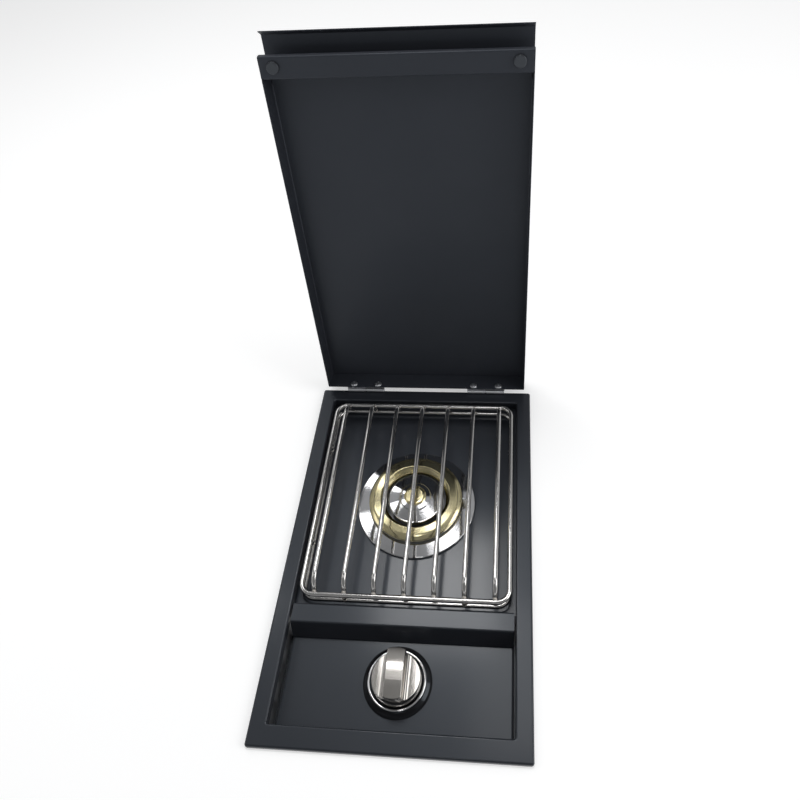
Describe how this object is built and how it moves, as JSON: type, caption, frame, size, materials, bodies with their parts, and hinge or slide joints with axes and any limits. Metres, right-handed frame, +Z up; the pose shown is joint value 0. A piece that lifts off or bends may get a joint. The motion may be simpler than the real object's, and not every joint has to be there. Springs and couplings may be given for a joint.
{
  "type": "built in side burner",
  "caption": "Drop-in gas side burner: a folded sheet frame and casing with a rod grate over a brass ring burner, a turning knob on a sunk panel and a hinged lid.",
  "frame": {"origin": "centre of the casing's underside, where the burner stands when it is out of the counter", "axes": "+X to the burner's right, across the shorter side; +Y from the knob to the hinge; +Z up"},
  "size_m": [0.3, 0.5645, 0.5885],
  "materials": {
    "black_coat": "satin powder coat",
    "casing_steel": "plain galvanised sheet",
    "polished_steel": "polished stainless steel",
    "satin_steel": "satin stainless steel",
    "zinc_steel": "bright zinc plate",
    "mirror_chrome": "mirror",
    "brass": "polished",
    "cast_aluminium": "as cast",
    "ceramic": "glazed white ceramic",
    "black_plastic": "fine matt",
    "lead_sleeve": "silicone",
    "black_rubber": "matt"
  },
  "bodies": {
    "base": {"top_frame": "black_coat", "casing": "casing_steel", "cross_bar": "black_coat", "control_panel": "black_coat", "burner_tray": "black_coat", "burner_bowl": "cast_aluminium", "drip_ring": "mirror_chrome", "electrode_ceramic": "ceramic", "electrode_wire": "polished_steel", "electrode_clip": "zinc_steel", "ignition_lead": "lead_sleeve", "piezo_igniter": "black_plastic", "bezel_base": "black_plastic", "bezel_ring": "mirror_chrome", "valve_body": "cast_aluminium", "valve_bonnet": "zinc_steel", "valve_screws": "zinc_steel", "injector": "brass", "air_shutter": "zinc_steel", "shutter_screw": "zinc_steel", "gas_pipe": "cast_aluminium", "pipe_nuts": "brass", "inlet_fitting": "brass", "inlet_nut": "brass", "pipe_clip": "zinc_steel", "frame_hinge_left": "zinc_steel", "frame_hinge_right": "zinc_steel", "hinge_pin_left": "zinc_steel", "hinge_pin_right": "zinc_steel"},
    "lid": {"lid_skin": "black_coat", "lid_front_channel": "black_coat", "lid_screws": "zinc_steel", "bumper_left": "black_rubber", "bumper_right": "black_rubber", "lid_hinge_left": "zinc_steel", "lid_hinge_right": "zinc_steel"},
    "grate": {"grate_upper_loop": "polished_steel", "grate_lower_loop": "polished_steel", "grate_bars": "polished_steel", "grate_posts": "polished_steel"},
    "outer_ring": {"flame_ring": "brass", "ring_cap": "brass"},
    "inner_burner": {"inner_burner_head": "brass", "inner_cap": "mirror_chrome", "centre_dome": "brass"},
    "valve_rotor": {"valve_plug": "brass", "stem_spring": "zinc_steel"},
    "control_knob": {"knob": "satin_steel", "valve_stem": "satin_steel"}
  },
  "joints": [
    {"name": "lid_hinge", "type": "hinge", "parent": "base", "child": "lid", "pos_m": [0, 0.2337, 0.108], "axis": [-1, 0, 0], "range_deg": [-98, 0]},
    {"name": "grate_lift", "type": "slide", "parent": "base", "child": "grate", "axis": [0, 0, 1], "range_m": [0, 0.06]},
    {"name": "outer_ring_lift", "type": "slide", "parent": "base", "child": "outer_ring", "axis": [0, 0, 1], "range_m": [0, 0.016]},
    {"name": "inner_burner_lift", "type": "slide", "parent": "base", "child": "inner_burner", "axis": [0, 0, 1], "range_m": [0, 0.014]},
    {"name": "knob_turn", "type": "hinge", "parent": "base", "child": "valve_rotor", "pos_m": [0, -0.157, 0.06], "axis": [0, 0, 1], "range_deg": [0, 180]},
    {"name": "knob_push", "type": "slide", "parent": "valve_rotor", "child": "control_knob", "axis": [0, 0, -1], "range_m": [0, 0.003], "stiffness_N_per_m": 1500, "springref_m": -0.003, "deforming": ["stem_spring"]}
  ]
}
